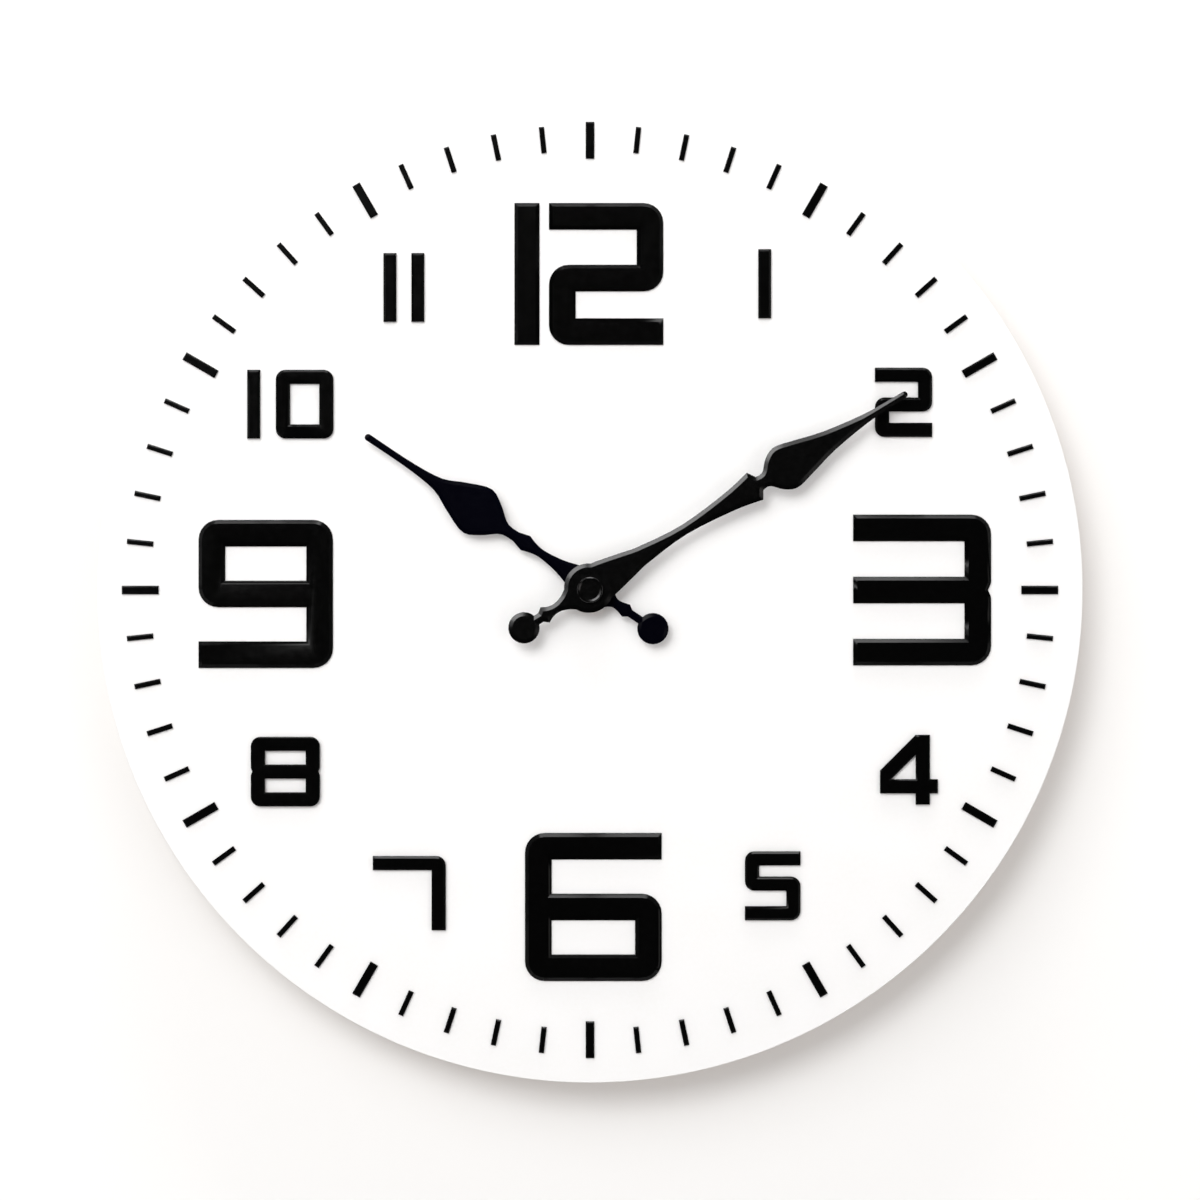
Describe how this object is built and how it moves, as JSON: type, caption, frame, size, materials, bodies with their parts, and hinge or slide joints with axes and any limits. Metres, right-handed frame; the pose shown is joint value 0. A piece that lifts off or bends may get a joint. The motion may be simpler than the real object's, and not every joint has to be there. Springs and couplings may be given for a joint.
{
  "type": "wall clock",
  "caption": "Round frameless wall clock with raised block numerals, hour marks, spade hands and a battery quartz movement behind the board.",
  "frame": {"origin": "on the axis of the hands, in the plane of the wall that the movement's rear cover rests on", "axes": "+X to three o'clock as seen from the front, +Y into the wall, +Z to twelve o'clock; the dial faces -Y"},
  "size_m": [0.3, 0.0342, 0.3],
  "materials": {
    "board": "MDF with matt white paint",
    "dial_sheet": "smooth matt white laminate",
    "numeral": "black acrylic with rounded edges",
    "hand": "pressed sheet, satin black paint",
    "case": "fine textured black ABS",
    "brass": "turned and tumbled brass",
    "steel": "zinc plated sheet",
    "rubber": "moulded black rubber",
    "white_nylon": "moulded natural acetal",
    "amber_nylon": "moulded tinted acetal",
    "copper": "enamelled copper wire, wound",
    "circuit": "glass epoxy laminate with green solder mask",
    "epoxy": "black epoxy blob",
    "magnet": "sintered magnet",
    "cell": "plain printed jacket on a steel can"
  },
  "bodies": {
    "root": {"dial_board": "board", "dial_face": "dial_sheet", "numeral_1": "numeral", "numeral_2": "numeral", "numeral_3": "numeral", "numeral_4": "numeral", "numeral_5": "numeral", "numeral_6": "numeral", "numeral_7": "numeral", "numeral_8": "numeral", "numeral_9": "numeral", "numeral_10_one": "numeral", "numeral_10_zero": "numeral", "numeral_11_left": "numeral", "numeral_11_right": "numeral", "numeral_12_one": "numeral", "numeral_12_two": "numeral", "hex_nut": "brass", "brass_washer": "brass", "rubber_gasket": "rubber", "hanger_plate": "steel", "threaded_bush": "brass", "front_case": "case", "rear_cover": "case", "middle_plate": "white_nylon", "battery_contact_plus": "steel", "battery_contact_minus": "steel", "circuit_board": "circuit", "clock_chip": "epoxy", "quartz_crystal": "steel", "stator": "steel", "coil_core": "steel", "coil_bobbin": "white_nylon", "coil_winding": "copper"},
    "minute_train": {"minute_hand": "hand", "cap_nut": "hand", "minute_shaft": "brass", "centre_wheel": "brass"},
    "hour_train": {"hour_hand": "hand", "hour_hand_collet": "brass", "hour_wheel": "white_nylon"},
    "motion_work": {"motion_wheel": "white_nylon", "set_knob": "white_nylon"},
    "third_train": {"third_wheel": "amber_nylon"},
    "seconds_train": {"seconds_wheel": "white_nylon"},
    "intermediate_train": {"intermediate_wheel": "amber_nylon"},
    "rotor": {"rotor_pinion": "white_nylon", "rotor_magnet": "magnet"},
    "battery": {"battery": "cell"}
  },
  "joints": [
    {"name": "minute_spin", "type": "hinge", "parent": "root", "child": "minute_train", "pos_m": [0, -0.03, 0], "axis": [0, 1, 0], "continuous": true},
    {"name": "hour_spin", "type": "hinge", "parent": "root", "child": "hour_train", "pos_m": [0, -0.028, 0], "axis": [0, 1, 0], "continuous": true},
    {"name": "motion_spin", "type": "hinge", "parent": "root", "child": "motion_work", "pos_m": [0.012, -0.01, 0], "axis": [0, 1, 0], "continuous": true},
    {"name": "third_spin", "type": "hinge", "parent": "root", "child": "third_train", "pos_m": [-0.00953, -0.005, 0.0055], "axis": [0, 1, 0], "continuous": true},
    {"name": "seconds_spin", "type": "hinge", "parent": "root", "child": "seconds_train", "pos_m": [0, -0.004, 0], "axis": [0, 1, 0], "continuous": true},
    {"name": "intermediate_spin", "type": "hinge", "parent": "root", "child": "intermediate_train", "pos_m": [0.00642, -0.007, 0.00917], "axis": [0, 1, 0], "continuous": true},
    {"name": "rotor_spin", "type": "hinge", "parent": "root", "child": "rotor", "pos_m": [0.0147, -0.012, 0.01063], "axis": [0, 1, 0], "continuous": true},
    {"name": "battery_slide", "type": "slide", "parent": "root", "child": "battery", "axis": [0, 1, 0], "range_m": [0, 0.03]}
  ],
  "couplings": [
    {"joint": "hour_spin", "follows": "minute_spin", "ratio": 0.083333},
    {"joint": "motion_spin", "follows": "minute_spin", "ratio": -0.33333},
    {"joint": "third_spin", "follows": "minute_spin", "ratio": -8},
    {"joint": "seconds_spin", "follows": "minute_spin", "ratio": 60},
    {"joint": "intermediate_spin", "follows": "minute_spin", "ratio": -360},
    {"joint": "rotor_spin", "follows": "minute_spin", "ratio": 1800}
  ]
}
